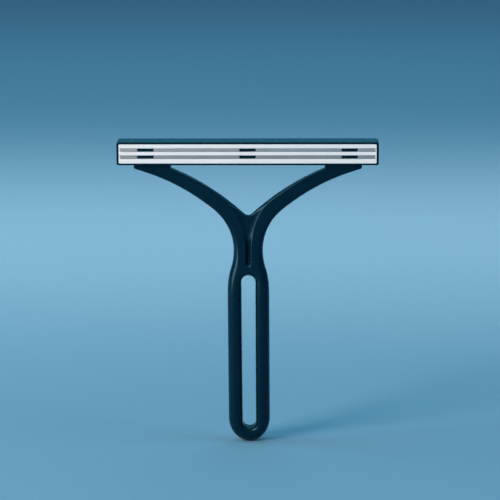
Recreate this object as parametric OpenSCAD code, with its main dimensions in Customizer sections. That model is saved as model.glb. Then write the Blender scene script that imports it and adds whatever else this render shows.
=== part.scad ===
// Body groomer: a wide twin-blade razor head on a Y-shaped handle with a long open loop.
// Millimetres. +Z is up, the cutting face looks along -Y, and the object is symmetric about X = 0.
// The origin is the middle of the object's own footprint, on the plane it stands on.

/* [Handle loop] */
// Width over both strands of the loop
loop_w = 16.6; // [14:0.1:20]
// Width of the long open hole near its top
hole_w = 5.6; // [5:0.1:7]
// Width of the hole near its bottom
hole_low_w = 5.4; // [4.8:0.1:6]
// Height of the lowest point of the hole
hole_bottom_z = 5.9; // [4.5:0.1:7]
// Height of the highest point of the hole
hole_top_z = 70.9; // [50:0.1:72]
// Height over which the bottom of the loop rounds off
loop_end_rise = 10.4; // [8:0.1:16]
// Depth of the loop from front to back
loop_d = 8.2; // [6:0.1:10]
// How far the bottom of the loop leans behind the arms
lean = 9; // [3:0.5:14]

/* [Waist and arms] */
// Width of the neck at its narrowest
waist_w = 11.6; // [9:0.1:14]
// Height of the narrowest point of the neck
waist_z = 80.9; // [78:0.1:84]
// Depth of the arms from front to back
arm_d = 4.2; // [4:0.1:6]
// Radius where the neck turns out into each arm
neck_r = 21.5; // [16:0.5:26]
// Angle from upright at which the neck radius becomes the arm radius
neck_turn = 50.4; // [46:0.1:55]
// Radius of the lower edge of each arm
arm_lower_r = 88; // [80:0.1:95]
// Radius of the upper edge of each arm
arm_upper_r = 97.3; // [97:0.1:98.5]
// Radius of the rounded fork between the arms
fork_r = 2.3; // [1:0.1:3]

/* [Web between the strands] */
// Width of the narrow groove below the fork
groove_w = 1.7; // [1:0.1:2.5]
// Height of the lower end of the groove
groove_end_z = 75.6; // [74:0.1:77]
// Depth of the groove below each face
web_step = 1.5; // [0.8:0.1:1.9]
// Depth of the web below each face at the fork
fork_step = 0.55; // [0.3:0.05:1.4]

/* [Cartridge] */
// Overall width of the cartridge
head_w = 103.3; // [95:0.1:110]
// Height of the cartridge
head_h = 9.2; // [9:0.1:10]
// Depth of the cartridge from front to back
head_d = 10; // [9.5:0.1:10.5]
// Height of the underside of the cartridge
head_z = 116; // [115.8:0.1:117]
// Thickness of the cartridge wall above the bars
rim_top = 0.8; // [0.6:0.05:0.9]
// Thickness of the cartridge wall below the bars
rim_low = 0.7; // [0.5:0.05:0.8]
// How far the bars stand out in front of the cartridge frame
proud = 0.35; // [0:0.05:0.5]
// Radius of the long rear edges of the cartridge
rear_r = 0.6; // [0.4:0.1:2]
// Radius of the upright rear corners of the cartridge
corner_r = 3; // [0.5:0.1:4]
// Radius of the four corners of the cartridge in front view
face_r = 0.8; // [0.4:0.1:1.2]

/* [Blades] */
// Angle between each blade and the shaving plane
blade_tilt = 25; // [20:1:28]
// Width of each blade strip
blade_w = 3.1; // [2.8:0.05:3.15]
// Thickness of each blade strip
blade_t = 0.25; // [0.1:0.05:0.3]
// Distance from one cutting edge to the next
blade_pitch = 2.8; // [2.7:0.05:2.85]
// Height of blade left showing between two bars
blade_show = 1.36; // [1.2:0.02:1.45]
// Width of the white cheek at each end of a blade
cheek_w = 0.5; // [0.4:0.05:1]
// Width of each locating post
post_w = 6.4; // [5:0.1:8]
// Distance from the middle post to each outer post
post_pitch = 40.2; // [30:0.1:44]

/* [Release] */
// Width of each pad that the cartridge sits on
pad_w = 14.7; // [12:0.1:16]
// Distance from the middle of the object to the outer end of each pad
pad_reach = 45.1; // [44:0.1:47]
// Width of each tongue on the handle
tongue_w = 9; // [6:0.1:11]
// Thickness of each tongue
tongue_t = 1.8; // [1.4:0.1:1.9]
// Height of each tongue
tongue_h = 6; // [4:0.1:6.5]
// Play between a tongue and its socket on each side
play = 0.08; // [0.04:0.01:0.15]

/* [Hidden] */

$fn = 48;
steps = 10;                                  // straight pieces along each arc of an outline
reach = 40;                                  // more than any depth, for cuts that pass right through
over = 1;                                    // how far a cut starts outside the face it opens

// Side view of the handle: straight above bend_z, then one arc that leans back
bend_z = 81.5;
bend_r = (bend_z * bend_z + lean * lean) / (2 * lean);
arm_top_z = 91.5;                              // the depth changes from loop_d to arm_d
loop_top_z = 61.5;                             // between these two heights
side_levels = 22;                            // straight pieces along the lean

// The footprint runs from the cutting face to the back of the loop
front_y = -head_d / 2;
mid_y = (lean + loop_d / 2 + front_y) / 2;

// Outline of the handle
shoulder_low_r = 32;                         // the loop's sides turn in to the waist
shoulder_high_r = 25;                        // and back to upright at the waist
arm_upper_x = 67.5;                          // centre of the arc along each arm's upper edge
arm_upper_z = 24.1;
flare_z = 81;                                // the groove opens out above this height,
shallow_z = 90;                              // and is at its shallowest above this one
flare_r = 32;
flare_turn = 42;

// Pads and tongues
seat_gap = 0.05;
pad_z = head_z - seat_gap;
pad_end_r = 0.8;
tongue_x = pad_reach - pad_w / 2;
tongue_y = 0.9;
tongue_tip = 0.4;
tongue_root = 1;

// Play above a tongue, and pockets in the back of the cartridge
tip_play = 0.2;
pocket_d = 2.2;
pocket_w = 9;
pocket_pitch = 10.6;
pocket_side = 1.8;                           // wall left above and below each pocket

// Cartridge cavity
end_wall = 0.85;
cavity_w = head_w - 2 * end_wall;
cavity_d = 4.4;
floor_y = front_y + cavity_d;
rim_y = front_y + proud;
low_z = head_z + rim_low;
top_z = head_z + head_h - rim_top;
cavity_r = 0.45;
nose_r = 0.25;
fit_gap = 0.03;

// Blades: cutting edges, and how far a blade runs back for each millimetre it rises
slope = tan(blade_tilt);
edge_set_back = 0.1;                         // the cutting edges lie this far behind the bars' faces
edge_y = front_y + edge_set_back;
lower_edge_rise = 2.62;
lower_edge_z = head_z + lower_edge_rise;
upper_edge_z = lower_edge_z + blade_pitch;
end_gap = 0.05;                              // at each end of a bar, and again at each end of a blade
bar_len = cavity_w - 2 * end_gap;
blade_len = bar_len - 2 * cheek_w - 2 * end_gap;
hone = 0.45;
cheek_set_back = 0.4;
cheek_y = front_y + cheek_set_back;
post_margin = 0.13;                          // blade left above and below each post
post_gap = 0.05;
post_root = 0.4;                             // how far a post runs into the cavity's floor
post_sink = 0.1;                             // post ends lie this far under the blade's face

// Bars: heights between which each one shows
edge_gap = 0.06;                             // from the top of a bar to the cutting edge above it
guard_top_z = lower_edge_z - edge_gap;
spacer_low_z = lower_edge_z + blade_show;
spacer_top_z = upper_edge_z - edge_gap;
cap_low_z = upper_edge_z + blade_show;
guard_d = 1.8;
guard_back_y = front_y + guard_d;

// End pins of the bars, which snap into pockets in the end walls
pin = 0.5;
pin_len = 0.45;
pin_root = 0.5;                              // how far a pin runs into its own bar
pin_set_back = 0.6;
pin_y = front_y + pin_set_back;
guard_pin_z = (low_z + guard_top_z) / 2;
spacer_pin_z = (spacer_low_z + spacer_top_z) / 2;
cap_pin_z = (cap_low_z + top_z) / 2;

navy = [0.02, 0.15, 0.22];
white = [0.9, 0.91, 0.92];
steel = [0.62, 0.65, 0.65];

// ---------------------------------------------------------------- helpers

// Points on a circle from angle a0 to angle a1, counted from +X towards +Z
function arc(c, r, a0, a1, n = steps) =
    [for (i = [0:n]) let (a = a0 + (a1 - a0) * i / n) c + r * [cos(a), sin(a)]];

// The same points on the other side of X = 0, in the opposite order
function mirrored(p) = [for (i = [len(p) - 1:-1:0]) [-p[i][0], p[i][1]]];

// 0 below a, 1 above b, and a smooth rise between them
function ease(a, b, v) = let (t = min(1, max(0, (v - a) / (b - a)))) t * t * (3 - 2 * t);

// Closed outline from its right half
module both_halves(half) polygon(concat(half, mirrored(half)));

// Rectangle in front view with rounded corners, symmetric about X = 0
module rounded_face(width, z0, z1, r) {
    both_halves(concat(
        arc([width / 2 - r, z0 + r], r, 270, 360, 6),
        arc([width / 2 - r, z1 - r], r, 0, 90, 6)
    ));
}

// Extrudes a front view (X, Z) from y0 back to y1
module along_y(y0, y1) translate([0, y1, 0]) rotate([90, 0, 0]) linear_extrude(y1 - y0) children();

// Extrudes a section (Y, Z) along X, centred on x
module along_x(length, x = 0)
    translate([x - length / 2, 0, 0]) rotate([90, 0, 90]) linear_extrude(length) children();

// Moves the working frame, whose Y = 0 is the middle of the arms, to the object's origin
module placed() translate([0, -mid_y, 0]) children();

// ---------------------------------------------------------------- handle

// Right half of the outer outline, from the bottom of the loop to the end of the pad
function outer_half() = let (
        half = loop_w / 2,
        radii = shoulder_low_r + shoulder_high_r,
        turn = acos(1 - (half - waist_w / 2) / radii),
        neck = [waist_w / 2 + neck_r, waist_z],
        join = neck + neck_r * [-cos(neck_turn), sin(neck_turn)],
        arm = join + arm_lower_r * [cos(neck_turn), -sin(neck_turn)],
        end_x = pad_reach - pad_end_r,
        end_z = arm[1] + sqrt(pow(arm_lower_r + pad_end_r, 2) - pow(arm[0] - end_x, 2)),
        arm_end = atan2(end_z - arm[1], arm[0] - end_x)
    ) concat(
        [for (i = [0:2 * steps]) let (a = -90 + 90 * i / (2 * steps))
            [half * cos(a), loop_end_rise * (1 + sin(a))]],
        arc([half - shoulder_low_r, waist_z - radii * sin(turn)], shoulder_low_r, 0, turn, steps / 2),
        arc([waist_w / 2 + shoulder_high_r, waist_z], shoulder_high_r, 180 + turn, 180, steps / 2),
        arc(neck, neck_r, 180, 180 - neck_turn),
        arc(arm, arm_lower_r, 180 - neck_turn, 180 - arm_end),
        arc([end_x, end_z], pad_end_r, -arm_end, 0, 4),
        [[pad_reach, pad_z]]
    );

// Right half of the upper edge, from the end of the pad down to the fork
function fork_half() = let (
        pad_inner = pad_reach - pad_w,
        upper = [arm_upper_x, arm_upper_z],
        fork_z = arm_upper_z + sqrt(pow(arm_upper_r + fork_r, 2) - pow(arm_upper_x, 2)),
        touch = atan2(fork_z - arm_upper_z, -arm_upper_x),
        start = acos((pad_inner - arm_upper_x) / arm_upper_r)
    ) concat(
        [[pad_inner, pad_z]],
        arc(upper, arm_upper_r, start, touch, 2 * steps),
        arc([0, fork_z], fork_r, touch - 180, -90, 4)
    );

module handle_outline() both_halves(concat(outer_half(), fork_half()));

module hole_outline() {
    low_r = hole_low_w / 2;
    high_r = hole_w / 2;
    both_halves(concat(
        arc([0, hole_bottom_z + low_r], low_r, 270, 360, steps),
        arc([0, hole_top_z - high_r], high_r, 0, 90, steps)
    ));
}

// Middle of the handle's depth, and half that depth, at height z
function spine_y(z) = z > bend_z ? 0 : bend_r - sqrt(bend_r * bend_r - pow(bend_z - z, 2));
function half_depth(z) = (loop_d + (arm_d - loop_d) * ease(loop_top_z, arm_top_z, z)) / 2;

// Side view of the handle
module handle_side() {
    heights = concat([for (i = [0:side_levels]) arm_top_z * i / side_levels], [pad_z]);
    front = [for (z = heights) [spine_y(z) - half_depth(z), z]];
    back = [for (i = [len(heights) - 1:-1:0]) let (z = heights[i]) [spine_y(z) + half_depth(z), z]];
    polygon(concat(front, back));
}

// Outline of the sunk web: a narrow slot that opens out towards the fork
module web_outline() {
    r = groove_w / 2;
    both_halves(concat(
        arc([0, groove_end_z + r], r, -90, 0, steps / 2),
        arc([r + flare_r, flare_z], flare_r, 180, 180 - flare_turn)
    ));
}

// Side view of the material cut from the front over the web; its floor follows the handle's face,
// at the groove's depth up to flare_z and at the fork's depth from shallow_z
module web_side() {
    low_z = groove_end_z - over;
    polygon([[-reach, low_z], [web_step - half_depth(low_z), low_z],
             [web_step - half_depth(flare_z), flare_z], [fork_step - half_depth(shallow_z), shallow_z],
             [fork_step - half_depth(pad_z), pad_z], [-reach, pad_z]]);
}

module web_cut() {
    intersection() {
        along_y(-reach, 0) web_outline();
        along_x(2 * reach) web_side();
    }
}

module tongue(side) {
    w = tongue_w / 2;
    tip_z = pad_z + tongue_h;
    translate([side * tongue_x, tongue_y, 0])
        along_y(-tongue_t / 2, tongue_t / 2)
            polygon([[-w, pad_z - tongue_root], [w, pad_z - tongue_root], [w, tip_z - tongue_tip],
                     [w - tongue_tip, tip_z], [tongue_tip - w, tip_z], [-w, tip_z - tongue_tip]]);
}

module handle() color(navy) placed() {
    difference() {
        intersection() {
            along_y(-reach, reach) handle_outline();
            along_x(2 * reach + pad_reach) handle_side();
        }
        along_y(-reach, reach) hole_outline();
        web_cut();
        mirror([0, 1, 0]) web_cut();
    }
    for (side = [-1, 1]) tongue(side);
}

// ---------------------------------------------------------------- cartridge frame

// Depth at height z of the front face of a blade whose cutting edge is at edge_z
function blade_y(edge_z, z) = edge_y + (z - edge_z) * slope;

module frame_section() {
    z0 = head_z;
    z1 = head_z + head_h;
    back = head_d / 2;
    polygon(concat(
        arc([rim_y + nose_r, z0 + nose_r], nose_r, 180, 270, 4),
        arc([back - rear_r, z0 + rear_r], rear_r, 270, 360, 6),
        arc([back - rear_r, z1 - rear_r], rear_r, 0, 90, 6),
        arc([rim_y + nose_r, z1 - nose_r], nose_r, 90, 180, 4)
    ));
}

module frame_plan() {
    half = head_w / 2;
    both_halves(concat(
        arc([half - nose_r, rim_y + nose_r], nose_r, 270, 360, 3),
        arc([half - corner_r, head_d / 2 - corner_r], corner_r, 0, 90, 12)
    ));
}

// Posts that stand in the slots of the blade at edge_z, and the holes that let them through.
// grow is the play round a post, and sink is how far its end lies under the blade's face.
module posts(edge_z, grow, sink) {
    z0 = edge_z + post_margin - grow;
    z1 = edge_z + blade_show - post_margin + grow;
    root_y = floor_y + post_root;
    for (i = [-1:1])
        along_x(post_w + 2 * grow, i * post_pitch)
            polygon([[blade_y(edge_z, z0) + sink, z0], [root_y, z0],
                     [root_y, z1], [blade_y(edge_z, z1) + sink, z1]]);
}

// Slots for the posts of the blade at edge_z, cut right through to the front
module post_slots(edge_z) posts(edge_z, post_gap, -over);

module sockets() {
    w = tongue_w + 2 * play;
    t = tongue_t + 2 * play;
    for (side = [-1, 1])
        translate([side * tongue_x - w / 2, tongue_y - t / 2, head_z - over])
            cube([w, t, over + tongue_h + tip_play]);
}

// Pockets in the back that keep the wall thickness even
module back_pockets() {
    for (i = [-2:2])
        translate([i * pocket_pitch - pocket_w / 2, head_d / 2 - pocket_d, head_z + pocket_side])
            cube([pocket_w, pocket_d + over, head_h - 2 * pocket_side]);
}

module cartridge_frame() color(navy) placed() {
    difference() {
        intersection() {
            along_x(head_w) frame_section();
            translate([0, 0, head_z - over]) linear_extrude(head_h + 2 * over) frame_plan();
            along_y(-reach, reach) rounded_face(head_w, head_z, head_z + head_h, face_r);
        }
        along_y(front_y - over, floor_y) rounded_face(cavity_w, low_z, top_z, cavity_r);
        sockets();
        back_pockets();
        for (z = [guard_pin_z, spacer_pin_z, cap_pin_z]) pin_pockets(z);
    }
    posts(lower_edge_z, 0, post_sink);
    posts(upper_edge_z, 0, post_sink);
}

// ---------------------------------------------------------------- blade pack

// Front view of everything that the cavity holds, for rounding the corners of the bars
module pack_face()
    along_y(-reach, reach)
        rounded_face(bar_len, low_z + fit_gap, top_z - fit_gap, cavity_r);

// One square pin at each end of a bar, centred on height z
module end_pins(z) {
    length = pin_len + pin_root;
    for (side = [-1, 1])
        translate([side * (bar_len / 2 + pin_len - length / 2) - length / 2, pin_y, z - pin / 2])
            cube([length, pin, pin]);
}

// The same two pins as one long cut, with play all round
module pin_pockets(z) {
    size = pin + 2 * fit_gap;
    length = bar_len + 2 * (pin_len + fit_gap);
    translate([-length / 2, pin_y - fit_gap, z - size / 2]) cube([length, size, size]);
}

// Cheeks that close the two ends of the blade at edge_z, over the height that shows
module cheeks(edge_z) {
    z1 = edge_z + blade_show - fit_gap;
    back = blade_t / cos(blade_tilt) + fit_gap;
    for (side = [-1, 1])
        along_x(cheek_w, side * (bar_len - cheek_w) / 2)
            polygon([[cheek_y, edge_z], [blade_y(edge_z, edge_z) + back + over, edge_z],
                     [blade_y(edge_z, z1) + back + over, z1], [cheek_y, z1]]);
}

// White carrier that fills the back of the cavity; its sloping face backs the lower blade
module blade_seat() color(white) placed() {
    back = blade_t / cos(blade_tilt) + fit_gap;
    z0 = low_z + fit_gap;
    z1 = top_z - fit_gap;
    difference() {
        intersection() {
            along_x(bar_len)
                polygon([[guard_back_y + fit_gap, z0], [floor_y, z0], [floor_y, z1],
                         [blade_y(lower_edge_z, z1) + back, z1],
                         [blade_y(lower_edge_z, lower_edge_z) + back, lower_edge_z],
                         [guard_back_y + fit_gap, lower_edge_z]]);
            pack_face();
        }
        post_slots(lower_edge_z);
        post_slots(upper_edge_z);
    }
    cheeks(lower_edge_z);
}

// Lowest white bar, which stretches the skin ahead of the blades
module guard_bar() color(white) placed() {
    z0 = low_z + fit_gap;
    intersection() {
        along_x(bar_len)
            polygon(concat(
                arc([front_y + nose_r, z0 + nose_r], nose_r, 180, 270, 3),
                [[guard_back_y, z0], [guard_back_y, guard_top_z]],
                arc([front_y + nose_r, guard_top_z - nose_r], nose_r, 90, 180, 3)
            ));
        pack_face();
    }
    end_pins(guard_pin_z);
}

// Thin strip with a honed lower edge and one slot for each post
module blade(edge_z) {
    run = [sin(blade_tilt), cos(blade_tilt)];
    through = blade_t * [cos(blade_tilt), -sin(blade_tilt)];
    tip = [edge_y, edge_z];
    difference() {
        along_x(blade_len)
            polygon([tip + through / 2, tip + hone * run, tip + blade_w * run,
                     tip + blade_w * run + through, tip + hone * run + through]);
        post_slots(edge_z);
    }
}

module lower_blade() color(steel) placed() blade(lower_edge_z);

module upper_blade() color(steel) placed() blade(upper_edge_z);

// Bar between the blades: its nose shows, its plate holds the blades apart
module spacer_bar() color(white) placed() {
    back = blade_t / cos(blade_tilt) + fit_gap;
    z1 = top_z - fit_gap;
    difference() {
        intersection() {
            along_x(bar_len)
                polygon(concat(
                    arc([front_y + nose_r, spacer_low_z + nose_r], nose_r, 180, 270, 3),
                    [[blade_y(lower_edge_z, spacer_low_z) - fit_gap, spacer_low_z],
                     [blade_y(lower_edge_z, z1) - fit_gap, z1],
                     [blade_y(upper_edge_z, z1) + back, z1],
                     [blade_y(upper_edge_z, upper_edge_z) + back, spacer_top_z]],
                    arc([front_y + nose_r, spacer_top_z - nose_r], nose_r, 90, 180, 3)
                ));
            pack_face();
        }
        post_slots(upper_edge_z);
    }
    cheeks(upper_edge_z);
    end_pins(spacer_pin_z);
}

// Highest white bar, which clamps the upper blade
module cap_bar() color(white) placed() {
    z1 = top_z - fit_gap;
    intersection() {
        along_x(bar_len)
            polygon(concat(
                arc([front_y + nose_r, cap_low_z + nose_r], nose_r, 180, 270, 3),
                [[blade_y(upper_edge_z, cap_low_z) - fit_gap, cap_low_z],
                 [blade_y(upper_edge_z, z1) - fit_gap, z1]],
                arc([front_y + nose_r, z1 - nose_r], nose_r, 90, 180, 3)
            ));
        pack_face();
    }
    end_pins(cap_pin_z);
}

// ---------------------------------------------------------------- output

handle();
cartridge_frame();
blade_seat();
guard_bar();
lower_blade();
spacer_bar();
upper_blade();
cap_bar();
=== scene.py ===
"""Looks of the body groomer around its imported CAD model.

Shapes are worked out in millimetres in the working frame of the design, where Y = 0 is the middle of
the arms' depth, and are turned into metres in the model's own frame when a mesh is made.
"""

import math

import bmesh
import bpy
import numpy as np
from mathutils import Matrix, Vector


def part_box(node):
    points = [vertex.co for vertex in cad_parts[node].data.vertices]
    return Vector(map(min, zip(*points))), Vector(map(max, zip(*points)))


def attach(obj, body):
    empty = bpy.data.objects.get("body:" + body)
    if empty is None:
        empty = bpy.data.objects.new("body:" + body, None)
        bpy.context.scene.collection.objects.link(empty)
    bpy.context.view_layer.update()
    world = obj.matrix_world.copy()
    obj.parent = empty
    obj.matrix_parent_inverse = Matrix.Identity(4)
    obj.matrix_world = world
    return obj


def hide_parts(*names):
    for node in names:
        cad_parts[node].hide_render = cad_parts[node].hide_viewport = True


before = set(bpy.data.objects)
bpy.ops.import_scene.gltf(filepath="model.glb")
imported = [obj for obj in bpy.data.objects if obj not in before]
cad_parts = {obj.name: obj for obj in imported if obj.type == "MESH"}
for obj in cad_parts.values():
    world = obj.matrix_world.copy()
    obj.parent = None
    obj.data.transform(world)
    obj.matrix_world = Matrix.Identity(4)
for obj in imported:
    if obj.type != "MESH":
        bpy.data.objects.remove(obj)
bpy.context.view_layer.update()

MM = 0.001
FRAME_LOW, FRAME_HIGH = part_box("cartridge_frame")
HANDLE_LOW, HANDLE_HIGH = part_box("handle")
HEAD_D = 10.0                                # depth of the cartridge, mm
MID_Y = FRAME_HIGH.y - HEAD_D / 2 * MM

# ------------------------------------------------------------------ the handle's dimensions, in mm

# Outline
LOOP_HALF = 8.3
LOOP_END_RISE = 10.4                         # the bottom of the loop is a half ellipse of this height
HOLE_R = 2.8
HOLE_LOW_R = 2.7
HOLE_LOW = 5.9
HOLE_HIGH = 70.9
WAIST_HALF = 5.8
WAIST_Z = 80.9
SHOULDER_LOW_R = 32.0
SHOULDER_HIGH_R = 25.0
NECK_R = 21.5
NECK_TURN = math.radians(50.4)
ARM_LOWER_R = 88.0
ARM_UPPER_R = 97.3
ARM_UPPER_CENTRE = np.array([67.5, 24.1])
FORK_R = 2.3
PAD_REACH = HANDLE_HIGH.x / MM
PAD_W = 14.7
PAD_INNER = PAD_REACH - PAD_W
PAD_Z = FRAME_LOW.z / MM - 0.05              # the cartridge stands this far clear of the pads
PAD_END_R = 0.8

# Depth from front to back
LOOP_D = 8.2
ARM_D = 4.2
LEAN = 9.0                                   # the bottom of the loop lies this far behind the arms
BEND_Z = 81.5                                # the handle is upright above this height
LOOP_DEPTH_TO = 61.5                         # LOOP_D up to this height,
ARM_DEPTH_FROM = 91.5                        # and ARM_D from this one

# Sunk web: a groove with a round end, which opens out into a dish at the fork
GROOVE_HALF = 0.85
GROOVE_END = 75.6
GROOVE_STRETCH = 0.6                         # the round end is 1 / 0.6 times as long as it is wide
FLARE_Z = 81.0
SHALLOW_Z = 90.0
FLARE_R = 32.0
FLARE_TURN = math.radians(42)
WEB_STEP = 1.5
FORK_STEP = 0.55
GROOVE_LIP = 0.35                            # the groove's flank spreads this far out of its outline,
GROOVE_FOOT = 0.6                            # and this far in
FORK_LIP = 0.4                               # the same for the dished web at the fork
FORK_FOOT = 2.2

# Radii of the rounded edges
STRAND_EDGE_R = 2.9                          # outer edge round the loop
ARM_EDGE_R = 1.3                             # outer edge along the arms
PAD_EDGE_R = 0.5                             # outer edge at the pads
STRAND_EDGE_TO = 72.0                        # between these heights the first runs into the second
ARM_EDGE_FROM = 98.0
HOLE_EDGE_R = 2.3
FORK_EDGE_R = 0.7                            # upper edge at the fork,
INNER_ARM_EDGE_R = 1.0                       # along the inner half of each arm,
OUTER_ARM_EDGE_R = 0.55                      # along its outer half,
UPPER_PAD_EDGE_R = 0.35                      # and at the pad
FORK_TO_ARM = (2.0, 7.0)                     # distances from the middle between which they change
ARM_INNER_TO_OUTER = (10.0, 24.0)
BELOW_PAD = (8.0, 2.5)                       # edges sharpen between these distances under the pads

# The mould's parting line on the side walls
SEAM = 0.03
SEAM_LOW = (0.5, 3.0)                        # it rises out of the wall between these heights,
SEAM_HIGH = (1.5, 0.5)                       # and fades between these distances under the pads

# Tongues on the pads
TONGUE_X = PAD_REACH - PAD_W / 2
TONGUE_Y = 0.9
TONGUE_W = 9.0
TONGUE_T = 1.8
TONGUE_H = 6.0
TONGUE_ROOT = 0.6                            # depth to which each tongue runs into its pad
LEAD_IN_H = 0.7                              # the tip narrows over this height,
LEAD_IN_W = 0.45                             # by this much on each side
LEAD_IN_T = 0.3                              # and by this much on each face
TONGUE_EDGE_R = 0.18

# Fineness of the handle's mesh: points along each stretch, from the bottom of the loop to the pad
SHORT_ARC = 40
LONG_ARC = 160
FILLET_ARC = 12
LOOP_END_STATIONS = 29
STRAND_STATIONS = 34
SHOULDER_STATIONS = 6
HOLE_TOP_STATIONS = 25
WEB_STATIONS = 56
FORK_STATIONS = 8
ARM_STATIONS = 84
PAD_STATIONS = 8
ACROSS = 45                                  # points across the face at each station
PAD_ROWS = 7                                 # rows across the top of a pad
HOLE_TOP_LEAD = 1.2                          # the outer edge leads the top of the hole by this height
FORK_OUTER_Z = 89.0                          # height on the outer edge that pairs with the fork
FORK_OUTER_RUN = 1.2                         # length of outer edge that pairs with the fork's fillet


# ------------------------------------------------------------------ small maths

def ease(low, high, value):
    """0 below low, 1 above high, and a smooth rise between them."""
    t = np.clip((np.asarray(value, float) - low) / (high - low), 0.0, 1.0)
    return t * t * (3 - 2 * t)


def arc(centre, radius, start, end, count):
    """Points on a circle of the front view, angles in radians from +X towards +Z."""
    a = np.linspace(start, end, count)
    return np.stack([centre[0] + radius * np.cos(a), centre[1] + radius * np.sin(a)], 1)


def line(start, end, count):
    """Points at equal steps between two points."""
    t = np.linspace(0, 1, count)[:, None]
    return np.asarray(start) * (1 - t) + np.asarray(end) * t


def lengths_along(path):
    """Length along a polyline at each of its points."""
    steps = np.hypot(*np.diff(path, axis=0).T)
    return np.concatenate([[0], np.cumsum(steps)])


def cut(path, from_length, to_length, count):
    """A stretch of a polyline between two lengths along it, with count points at equal steps."""
    run = lengths_along(path)
    at = np.linspace(from_length, to_length, count)
    return np.stack([np.interp(at, run, path[:, 0]), np.interp(at, run, path[:, 1])], 1)


def respaced(path, count):
    """The same polyline with count points at equal steps of length."""
    return cut(path, 0, lengths_along(path)[-1], count)


def length_where(path, test):
    """Length along a polyline at the first point that passes the test."""
    return lengths_along(path)[np.argmax(test(path))]


AT_ONCE = 2000                               # points measured in one go, which bounds the memory used


def distance_to(points, path):
    """Shortest distance from each point to a polyline."""
    a = path[:-1]
    d = path[1:] - a
    length2 = (d * d).sum(1)
    keep = length2 > 0
    a, d, length2 = a[keep], d[keep], length2[keep]
    best = np.full(len(points), np.inf)
    for start in range(0, len(points), AT_ONCE):
        p = points[start:start + AT_ONCE, None, :]
        t = np.clip(((p - a) * d).sum(2) / length2, 0, 1)
        gap = np.linalg.norm(p - (a + t[..., None] * d), axis=2)
        best[start:start + AT_ONCE] = gap.min(1)
    return best


# ------------------------------------------------------------------ outlines of the handle's right half

def shoulder_and_neck():
    """Outer edge from the top of the loop's straight side, past the waist, to the end of the pad.

    Returns the height where it starts, the edge up to the rounded corner, and the corner."""
    swell = LOOP_HALF - WAIST_HALF
    turn = math.acos(1 - swell / (SHOULDER_LOW_R + SHOULDER_HIGH_R))
    low_z = WAIST_Z - (SHOULDER_LOW_R + SHOULDER_HIGH_R) * math.sin(turn)
    neck = np.array([WAIST_HALF + NECK_R, WAIST_Z])
    join = neck + NECK_R * np.array([-math.cos(NECK_TURN), math.sin(NECK_TURN)])
    arm = join + ARM_LOWER_R * np.array([math.cos(NECK_TURN), -math.sin(NECK_TURN)])
    end_x = PAD_REACH - PAD_END_R
    end_z = arm[1] + math.sqrt((ARM_LOWER_R + PAD_END_R) ** 2 - (arm[0] - end_x) ** 2)
    arm_end = math.atan2(end_z - arm[1], arm[0] - end_x)
    corner = arc((end_x, end_z), PAD_END_R, -arm_end, 0, PAD_STATIONS - 1)
    return low_z, np.concatenate([
        arc((LOOP_HALF - SHOULDER_LOW_R, low_z), SHOULDER_LOW_R, 0, turn, SHORT_ARC),
        arc((WAIST_HALF + SHOULDER_HIGH_R, WAIST_Z), SHOULDER_HIGH_R, math.pi + turn, math.pi, SHORT_ARC)[1:],
        arc(neck, NECK_R, math.pi, math.pi - NECK_TURN, 2 * SHORT_ARC)[1:],
        arc(arm, ARM_LOWER_R, math.pi - NECK_TURN, math.pi - arm_end, LONG_ARC)[1:],
    ]), corner


def fork_edge():
    """Upper edge from the bottom of the fork, along the arm, to the inner end of the pad."""
    fork_z = ARM_UPPER_CENTRE[1] + math.sqrt((ARM_UPPER_R + FORK_R) ** 2 - ARM_UPPER_CENTRE[0] ** 2)
    touch = math.atan2(fork_z - ARM_UPPER_CENTRE[1], -ARM_UPPER_CENTRE[0])
    start = math.acos((PAD_INNER - ARM_UPPER_CENTRE[0]) / ARM_UPPER_R)
    fillet = arc((0, fork_z), FORK_R, -math.pi / 2, touch - math.pi, FILLET_ARC)
    return fillet, arc(ARM_UPPER_CENTRE, ARM_UPPER_R, touch, start, LONG_ARC)


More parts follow.
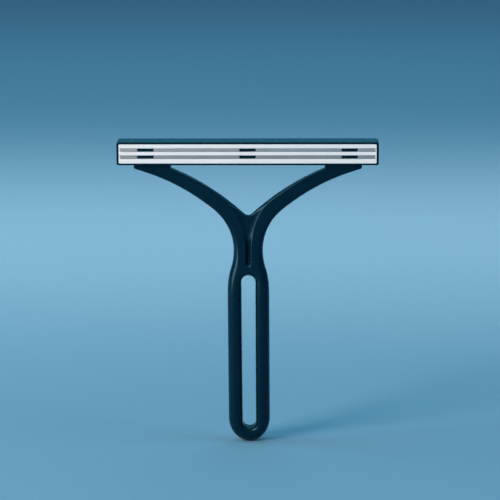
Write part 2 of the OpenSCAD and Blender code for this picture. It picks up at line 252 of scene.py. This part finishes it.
def handle_stations():
    """Matching outer and inner points along the right half, from the bottom of the loop to the pad.

    Also returns how many stations lie along the hole, and how many along X = 0 above it."""
    low_z, outer, corner = shoulder_and_neck()
    fillet, upper = fork_edge()
    hole_low_c = HOLE_LOW + HOLE_LOW_R
    hole_high_c = HOLE_HIGH - HOLE_R
    total = lengths_along(outer)[-1]
    at_hole = length_where(outer, lambda p: p[:, 1] > hole_high_c)
    at_top = length_where(outer, lambda p: p[:, 1] > HOLE_HIGH + HOLE_TOP_LEAD)
    at_fork = length_where(outer, lambda p: p[:, 1] > FORK_OUTER_Z)
    past_fork = at_fork + FORK_OUTER_RUN
    low = np.linspace(-math.pi / 2, 0, LOOP_END_STATIONS)
    loop_end = np.stack([LOOP_HALF * np.cos(low), LOOP_END_RISE * (1 + np.sin(low))], 1)
    rows = [
        (loop_end, arc((0, hole_low_c), HOLE_LOW_R, -math.pi / 2, 0, LOOP_END_STATIONS)),
        (line((LOOP_HALF, LOOP_END_RISE), (LOOP_HALF, low_z), STRAND_STATIONS),
         line((HOLE_LOW_R, hole_low_c), (HOLE_R, low_z), STRAND_STATIONS)),
        (cut(outer, 0, at_hole, SHOULDER_STATIONS),
         line((HOLE_R, low_z), (HOLE_R, hole_high_c), SHOULDER_STATIONS)),
        (cut(outer, at_hole, at_top, HOLE_TOP_STATIONS),
         arc((0, hole_high_c), HOLE_R, 0, math.pi / 2, HOLE_TOP_STATIONS)),
        (cut(outer, at_top, at_fork, WEB_STATIONS), line((0, HOLE_HIGH), fillet[0], WEB_STATIONS)),
        (cut(outer, at_fork, past_fork, FORK_STATIONS), respaced(fillet, FORK_STATIONS)),
        (cut(outer, past_fork, total, ARM_STATIONS), respaced(upper, ARM_STATIONS)),
        (np.concatenate([corner, [[PAD_REACH, PAD_Z]]]),
         line(upper[-1], (PAD_INNER, PAD_Z), PAD_STATIONS)),
    ]
    outer_points = np.concatenate([rows[0][0]] + [r[0][1:] for r in rows[1:]])
    inner_points = np.concatenate([rows[0][1]] + [r[1][1:] for r in rows[1:]])
    hole_count = 1 + sum(len(r[0]) - 1 for r in rows[:4])
    web_count = len(rows[4][0]) - 1
    return outer_points, inner_points, hole_count, web_count


# ------------------------------------------------------------------ depth of the handle's faces

def spine_y(z):
    """Middle of the handle's depth: upright above BEND_Z, and one arc that leans back below it."""
    bend_r = (BEND_Z ** 2 + LEAN ** 2) / (2 * LEAN)
    below = np.clip(BEND_Z - z, 0, None)
    return bend_r - np.sqrt(bend_r ** 2 - below ** 2)


def rounding(gap, radius):
    """How far a face drops at this distance from an edge that is rounded to radius."""
    t = np.clip(1 - gap / radius, 0, 1)
    return radius * (1 - np.sqrt(1 - t * t))


def web_depth(x, z):
    """How far the face is sunk between the strands: a groove with a round end that opens out above."""
    above = np.clip((z - FLARE_Z) / FLARE_R, 0, math.sin(FLARE_TURN))
    cosine = np.sqrt(1 - above * above)
    inside = (GROOVE_HALF + FLARE_R * (1 - cosine) - np.abs(x)) * cosine
    centre = GROOVE_END + GROOVE_HALF
    end = GROOVE_HALF - np.hypot(x, GROOVE_STRETCH * (z - centre))
    inside = np.where(z < centre, end, inside)
    opened = ease(FLARE_Z, SHALLOW_Z, z)
    lip = GROOVE_LIP + (FORK_LIP - GROOVE_LIP) * opened
    foot = GROOVE_FOOT + (FORK_FOOT - GROOVE_FOOT) * opened
    step = WEB_STEP + (FORK_STEP - WEB_STEP) * opened
    t = np.clip((inside + lip) / (lip + foot), 0.0, 1.0)
    groove = t * t * (3 - 2 * t)
    dish = 1 - (1 - t) ** 2
    return step * (groove + (dish - groove) * opened)


def half_thickness(points, outer_path, hole_path, fork_path):
    """Half the depth of the moulding at each point, with its edges rounded and its web sunk."""
    x, z = points.T
    depth = (LOOP_D + (ARM_D - LOOP_D) * ease(LOOP_DEPTH_TO, ARM_DEPTH_FROM, z)) / 2
    in_arm = ease(STRAND_EDGE_TO, ARM_EDGE_FROM, z)
    near_pad = ease(PAD_Z - BELOW_PAD[0], PAD_Z - BELOW_PAD[1], z)
    outer_r = STRAND_EDGE_R + (ARM_EDGE_R - STRAND_EDGE_R) * in_arm + (PAD_EDGE_R - ARM_EDGE_R) * near_pad
    past_fork = ease(*FORK_TO_ARM, np.abs(x))
    outer_half = ease(*ARM_INNER_TO_OUTER, np.abs(x))
    fork_r = (FORK_EDGE_R + (INNER_ARM_EDGE_R - FORK_EDGE_R) * past_fork
              + (OUTER_ARM_EDGE_R - INNER_ARM_EDGE_R) * outer_half
              + (UPPER_PAD_EDGE_R - OUTER_ARM_EDGE_R) * near_pad)
    depth = depth - web_depth(x, z)
    depth = depth - rounding(distance_to(points, outer_path), outer_r)
    depth = depth - rounding(distance_to(points, hole_path), HOLE_EDGE_R)
    return depth - rounding(distance_to(points, fork_path), fork_r)


# ------------------------------------------------------------------ mesh helpers

def to_model(points):
    """Millimetres in the working frame to metres in the model's frame."""
    out = np.asarray(points, float) * MM
    out[..., 1] += MID_Y
    return out


def add_grid(bm, points, flip=False):
    """Adds a grid of points (rows, columns, 3) in mm as quads."""
    rows, columns = points.shape[:2]
    verts = [[bm.verts.new(p) for p in row] for row in to_model(points)]
    for i in range(rows - 1):
        for j in range(columns - 1):
            quad = (verts[i][j], verts[i + 1][j], verts[i + 1][j + 1], verts[i][j + 1])
            bm.faces.new(quad[::-1] if flip else quad)


def finish_mesh(bm, name, merge=2e-6):
    """Turns bm into a smooth-shaded object, with vertices closer than merge (metres) welded."""
    bmesh.ops.remove_doubles(bm, verts=bm.verts, dist=merge)
    bmesh.ops.recalc_face_normals(bm, faces=bm.faces)
    mesh = bpy.data.meshes.new(name)
    bm.to_mesh(mesh)
    bm.free()
    obj = bpy.data.objects.new(name, mesh)
    bpy.context.scene.collection.objects.link(obj)
    for polygon in mesh.polygons:
        polygon.use_smooth = True
    return obj


def mirror_x(bm):
    """Adds the mirror image of everything in bm about X = 0."""
    copied = bmesh.ops.duplicate(bm, geom=bm.verts[:] + bm.edges[:] + bm.faces[:])
    verts = [g for g in copied["geom"] if isinstance(g, bmesh.types.BMVert)]
    for v in verts:
        v.co.x = -v.co.x
    faces = [g for g in copied["geom"] if isinstance(g, bmesh.types.BMFace)]
    bmesh.ops.reverse_faces(bm, faces=faces)


# ------------------------------------------------------------------ materials

def new_material(name):
    """A material, its node tree and its main shader."""
    mat = bpy.data.materials.new(name)
    mat.use_nodes = True
    tree = mat.node_tree
    return mat, tree, tree.nodes["Principled BSDF"]


def noise(tree, scale, detail=3.0, roughness=0.5, stretch=None):
    """Noise in object coordinates, scale in cycles per metre."""
    coord = tree.nodes.new("ShaderNodeTexCoord")
    source = coord.outputs["Object"]
    if stretch:
        mapping = tree.nodes.new("ShaderNodeMapping")
        mapping.inputs["Scale"].default_value = stretch
        tree.links.new(source, mapping.inputs["Vector"])
        source = mapping.outputs["Vector"]
    node = tree.nodes.new("ShaderNodeTexNoise")
    node.inputs["Scale"].default_value = scale
    node.inputs["Detail"].default_value = detail
    node.inputs["Roughness"].default_value = roughness
    tree.links.new(source, node.inputs["Vector"])
    return node.outputs["Fac"]


def ramp(tree, source, low, high):
    """Runs from colour low to colour high as a value goes from 0.3 to 0.7."""
    node = tree.nodes.new("ShaderNodeValToRGB")
    for element, position, colour in zip(node.color_ramp.elements, (0.3, 0.7), (low, high)):
        element.position = position
        element.color = (*colour, 1)
    tree.links.new(source, node.inputs["Fac"])
    return node.outputs["Color"]


def spread(tree, source, low, high):
    """Maps a value from 0..1 to low..high."""
    node = tree.nodes.new("ShaderNodeMapRange")
    node.inputs["To Min"].default_value = low
    node.inputs["To Max"].default_value = high
    tree.links.new(source, node.inputs["Value"])
    return node.outputs["Result"]


def bump(tree, shader, source, distance, strength, after=None):
    """Raises the surface by a value from 0..1, distance in metres, on top of an earlier bump."""
    node = tree.nodes.new("ShaderNodeBump")
    node.inputs["Distance"].default_value = distance
    node.inputs["Strength"].default_value = strength
    tree.links.new(source, node.inputs["Height"])
    if after is not None:
        tree.links.new(after, node.inputs["Normal"])
    tree.links.new(node.outputs["Normal"], shader.inputs["Normal"])
    return node.outputs["Normal"]


def worn_edges(tree):
    """0 on flat faces and 1 along convex edges."""
    geometry = tree.nodes.new("ShaderNodeNewGeometry")
    node = tree.nodes.new("ShaderNodeMapRange")
    node.inputs["From Min"].default_value = 0.5
    node.inputs["From Max"].default_value = 0.62
    tree.links.new(geometry.outputs["Pointiness"], node.inputs["Value"])
    return node.outputs["Result"]


def moulded_plastic(name, dark, pale, roughness, specular, tint, grain):
    """Satin moulded plastic: faint drifts of tone, a fine spark-eroded texture and softly worn edges.

    roughness is the smoothest and the roughest that it gets, and grain is the texture's height in metres."""
    mat, tree, shader = new_material(name)
    tone = noise(tree, scale=70, detail=4)
    tree.links.new(ramp(tree, tone, dark, pale), shader.inputs["Base Color"])
    handled = noise(tree, scale=160, detail=5, roughness=0.6)
    fine = noise(tree, scale=6000, detail=2)
    duller_away_from_edges = spread(tree, worn_edges(tree), low=0.22, high=0.0)
    mix = tree.nodes.new("ShaderNodeMath")
    mix.operation = "MULTIPLY_ADD"
    tree.links.new(handled, mix.inputs[0])
    mix.inputs[1].default_value = 0.7
    tree.links.new(duller_away_from_edges, mix.inputs[2])
    tree.links.new(spread(tree, mix.outputs["Value"], *roughness), shader.inputs["Roughness"])
    shader.inputs["Specular IOR Level"].default_value = specular
    shader.inputs["Specular Tint"].default_value = (*tint, 1)
    texture = bump(tree, shader, fine, distance=grain, strength=0.6)
    coarse = noise(tree, scale=900, detail=3)
    bump(tree, shader, coarse, distance=grain * 1.5, strength=0.35, after=texture)
    return mat


def blade_steel(name, dark, pale):
    """Ground strip steel, with grinding lines across the strip."""
    mat, tree, shader = new_material(name)
    shader.inputs["Metallic"].default_value = 1.0
    lines = noise(tree, scale=5200, detail=3, roughness=0.65, stretch=(1, 0.03, 0.03))
    tone = noise(tree, scale=90, detail=3)
    tree.links.new(ramp(tree, tone, dark, pale), shader.inputs["Base Color"])
    tree.links.new(spread(tree, lines, low=0.26, high=0.44), shader.inputs["Roughness"])
    bump(tree, shader, lines, distance=0.000003, strength=0.6)
    return mat


def floor_paint():
    """Matt blue studio floor."""
    mat, tree, shader = new_material("floor_paint")
    shader.inputs["Base Color"].default_value = (0.17, 0.335, 0.45, 1)
    shader.inputs["Roughness"].default_value = 0.75
    return mat


NAVY = moulded_plastic("navy_plastic", dark=(0.0002, 0.0105, 0.0195), pale=(0.0003, 0.0135, 0.0245),
                       roughness=(0.2, 0.32), specular=0.3, tint=(0.32, 0.72, 1.0), grain=0.000012)
WHITE = moulded_plastic("white_plastic", dark=(0.83, 0.805, 0.79), pale=(0.87, 0.845, 0.83),
                        roughness=(0.32, 0.48), specular=0.45, tint=(1, 1, 1), grain=0.000008)
# The lower blade gets a darker copy of the same steel: painted shade that stands in for the shadow the bar
# above casts on it.
STEEL = {"lower_blade": blade_steel("lower_steel_painted_shade", dark=(0.56, 0.54, 0.5), pale=(0.62, 0.6, 0.56)),
         "upper_blade": blade_steel("upper_steel", dark=(0.65, 0.63, 0.595), pale=(0.72, 0.695, 0.66))}


def paint(obj, material):
    """Gives the whole object one material."""
    obj.data.materials.clear()
    obj.data.materials.append(material)


# ------------------------------------------------------------------ pieces

def outward(path, side):
    """Unit normals of a path in the front view, to its right for side 1 and to its left for side -1."""
    along = np.gradient(path, axis=0)
    along /= np.linalg.norm(along, axis=1)[:, None]
    return side * np.stack([along[:, 1], -along[:, 0]], 1)


# Fractions of the way through a side wall at which it has points, close together at the parting line
WALL_STEPS = np.array([0, 0.18, 0.36, 0.485, 0.5, 0.515, 0.64, 0.82, 1.0])


def wall(front, back, side=1):
    """Side wall between two matching edges, with the mould's fine parting line half way."""
    through = WALL_STEPS[None, :, None]
    grid = front[:, None, :] * (1 - through) + back[:, None, :] * through
    z = front[:, 2]
    height = SEAM * ease(*SEAM_LOW, z) * (1 - ease(PAD_Z - SEAM_HIGH[0], PAD_Z - SEAM_HIGH[1], z))
    normal = outward(front[:, (0, 2)], side) * height[:, None]
    middle = len(WALL_STEPS) // 2
    grid[:, middle, 0] += normal[:, 0]
    grid[:, middle, 2] += normal[:, 1]
    return grid


def make_handle():
    """The handle's moulding: front and back faces, side walls and pad tops, mirrored about X = 0."""
    outer, inner, hole_count, web_count = handle_stations()
    across = (1 - np.cos(np.linspace(0, math.pi, ACROSS))) / 2
    points = outer[:, None, :] * (1 - across[None, :, None]) + inner[:, None, :] * across[None, :, None]
    flat = points.reshape(-1, 2)
    open_from = hole_count - 1
    open_to = open_from + web_count
    half = half_thickness(flat, outer, inner[:hole_count], inner[open_to:]).reshape(points.shape[:2])
    spine = spine_y(points[..., 1])
    front = np.stack([points[..., 0], spine - half, points[..., 1]], 2)
    back = np.stack([points[..., 0], spine + half, points[..., 1]], 2)
    bm = bmesh.new()
    add_grid(bm, front)
    add_grid(bm, back, flip=True)
    add_grid(bm, wall(front[:, 0], back[:, 0]))
    add_grid(bm, wall(front[:hole_count, -1], back[:hole_count, -1], -1), flip=True)
    add_grid(bm, wall(front[open_to:, -1], back[open_to:, -1], -1), flip=True)
    through = np.linspace(0, 1, PAD_ROWS)[None, :, None]
    add_grid(bm, front[-1][:, None, :] * (1 - through) + back[-1][:, None, :] * through)
    mirror_x(bm)
    handle = finish_mesh(bm, "handle_moulding")
    finish_piece(handle, NAVY, "handle")
    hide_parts("handle")


def make_tongue(side, name):
    """One flat tongue that stands on a pad, with a lead-in round its tip."""
    bm = bmesh.new()
    levels = [(-TONGUE_ROOT, 0, 0), (TONGUE_H - LEAD_IN_H, 0, 0), (TONGUE_H, LEAD_IN_W, LEAD_IN_T)]
    rings = []
    for height, narrower, thinner in levels:
        w = TONGUE_W / 2 - narrower
        t = TONGUE_T / 2 - thinner
        z = PAD_Z + height
        corners = [(-w, -t), (w, -t), (w, t), (-w, t)]
        ring = np.array([[side * TONGUE_X + x, TONGUE_Y + y, z] for x, y in corners])
        rings.append([bm.verts.new(p) for p in to_model(ring)])
    for low, high in zip(rings, rings[1:]):
        for i in range(4):
            k = (i + 1) % 4
            bm.faces.new((low[i], low[k], high[k], high[i]))
    bm.faces.new(rings[0][::-1])
    bm.faces.new(rings[-1])
    bmesh.ops.bevel(bm, geom=bm.edges[:], offset=TONGUE_EDGE_R * MM, offset_type="OFFSET", segments=3,
                    profile=0.5, affect="EDGES", clamp_overlap=True)
    tongue = finish_mesh(bm, name)
    finish_piece(tongue, NAVY, "handle")


SAME_PLANE = math.radians(1)                 # faces this close in angle are joined into one
SHARP = math.radians(38)                     # convex edges sharper than this are rounded
STAYS_SHARP = math.radians(44)               # and edges still sharper than this are shaded as edges


def softened(node, name, radius, material):
    """A cartridge piece with the CAD piece's shape, whose outer edges are rounded."""
    bm = bmesh.new()
    bm.from_mesh(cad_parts[node].data)
    bmesh.ops.remove_doubles(bm, verts=bm.verts, dist=1e-6)
    bmesh.ops.dissolve_limit(bm, angle_limit=SAME_PLANE, verts=bm.verts, edges=bm.edges)
    sharp = [e for e in bm.edges if e.is_convex and e.calc_face_angle(0) > SHARP]
    bmesh.ops.bevel(bm, geom=sharp, offset=radius * MM, offset_type="OFFSET", segments=3,
                    profile=0.5, affect="EDGES", clamp_overlap=False)
    piece = finish_mesh(bm, name, merge=1e-7)
    piece.data.set_sharp_from_angle(angle=STAYS_SHARP)
    finish_piece(piece, material, "cartridge")
    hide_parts(node)


def finish_piece(piece, material, body):
    """Paints a piece and ties it to its material slot and its moving body."""
    paint(piece, material)
    weighted = piece.modifiers.new("flat_faces_stay_flat", "WEIGHTED_NORMAL")
    weighted.keep_sharp = True
    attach(piece, body)


PLASTIC_EDGE_R = 0.12                        # edge radii of the cartridge's pieces, mm
CARRIER_EDGE_R = 0.08
STEEL_EDGE_R = 0.03

make_handle()
make_tongue(-1, "left_tongue")
make_tongue(1, "right_tongue")
softened("cartridge_frame", "cartridge_shell", PLASTIC_EDGE_R, NAVY)
softened("blade_seat", "blade_carrier", CARRIER_EDGE_R, WHITE)
for bar in ("guard_bar", "spacer_bar", "cap_bar"):
    softened(bar, "white_" + bar, PLASTIC_EDGE_R, WHITE)
for blade, steel in STEEL.items():
    softened(blade, "steel_" + blade, STEEL_EDGE_R, steel)


# ------------------------------------------------------------------ stage, lights and camera

FLOOR_HALF = 3.0


def make_floor():
    """One plain square under the object."""
    bm = bmesh.new()
    corners = ((-1, -1), (1, -1), (1, 1), (-1, 1))
    bm.faces.new([bm.verts.new((x * FLOOR_HALF, y * FLOOR_HALF, 0)) for x, y in corners])
    mesh = bpy.data.meshes.new("floor")
    bm.to_mesh(mesh)
    bm.free()
    floor = bpy.data.objects.new("floor", mesh)
    bpy.context.scene.collection.objects.link(floor)
    paint(floor, floor_paint())


def aim(obj, target):
    """Turns a light or camera to look at a point."""
    direction = Vector(target) - obj.location
    obj.rotation_euler = direction.to_track_quat("-Z", "Y").to_euler()


def area_light(name, location, target, size, power, colour, spread=180):
    """Rectangular lamp at a place in metres, power in watts, spread in degrees."""
    data = bpy.data.lights.new(name, "AREA")
    data.shape = "RECTANGLE"
    data.spread = math.radians(spread)
    data.size, data.size_y = size
    data.energy = power
    data.color = colour
    light = bpy.data.objects.new(name, data)
    bpy.context.scene.collection.objects.link(light)
    light.location = location
    aim(light, target)


def make_world():
    """Dim blue surroundings, which the plastic reflects."""
    world = bpy.data.worlds.new("studio")
    bpy.context.scene.world = world
    world.use_nodes = True
    background = world.node_tree.nodes["Background"]
    background.inputs["Color"].default_value = (0.045, 0.16, 0.27, 1)
    background.inputs["Strength"].default_value = 1.0


CAMERA_DISTANCE = 1.1
CAMERA_AZIMUTH = math.radians(1.3)
CAMERA_ELEVATION = math.radians(12.3)
CAMERA_ROLL = math.radians(0.26)
CAMERA_LENS = 199.0
CAMERA_TARGET = Vector((0.0007, MID_Y, 0.0809))


def make_camera():
    """Long lens a little above the object and a little to its right."""
    data = bpy.data.cameras.new("camera")
    data.lens = CAMERA_LENS
    data.sensor_width = 36.0
    data.clip_start = 0.05
    data.clip_end = 20
    camera = bpy.data.objects.new("camera", data)
    bpy.context.scene.collection.objects.link(camera)
    level = math.cos(CAMERA_ELEVATION)
    away = Vector((math.sin(CAMERA_AZIMUTH) * level, -math.cos(CAMERA_AZIMUTH) * level,
                   math.sin(CAMERA_ELEVATION)))
    camera.location = CAMERA_TARGET + away * CAMERA_DISTANCE
    aim(camera, CAMERA_TARGET)
    roll = Matrix.Rotation(-CAMERA_ROLL, 4, "Z")
    camera.rotation_euler = (camera.rotation_euler.to_matrix().to_4x4() @ roll).to_euler()
    bpy.context.scene.camera = camera


OBJECT = (0, 0, 0.06)                        # the lamps point at the middle of the object,
HEAD = (0, 0, 0.1)                           # or higher up at the cartridge

make_floor()
make_world()
area_light("key", (-0.97, -0.85, 0.5), OBJECT, size=(0.55, 1.1), power=22.5, colour=(1, 0.855, 0.775))
area_light("top", (0.1, 0.5, 1.2), OBJECT, size=(0.9, 0.9), power=2.6, colour=(0.7, 0.93, 1))
area_light("side", (-1.0, -0.05, 0.95), OBJECT, size=(0.6, 0.6), power=6.5, colour=(0.4, 0.87, 1))
area_light("far_side", (1.0, -0.3, 0.9), OBJECT, size=(0.6, 0.6), power=4.5, colour=(0.42, 0.87, 1))
area_light("backdrop", (0, 0.42, 0.8), (0, 0.42, 0), size=(0.9, 0.2), power=0.8, colour=(1, 0.84, 0.74),
           spread=50)
area_light("rim", (0, 1.25, 0.42), HEAD, size=(2.6, 0.5), power=1.0, colour=(0.05, 0.72, 1))
area_light("card", (0, -1.25, 0.95), HEAD, size=(1.4, 0.8), power=0.5, colour=(1, 0.96, 0.92))
make_camera()
bpy.context.scene.view_settings.view_transform = "Standard"
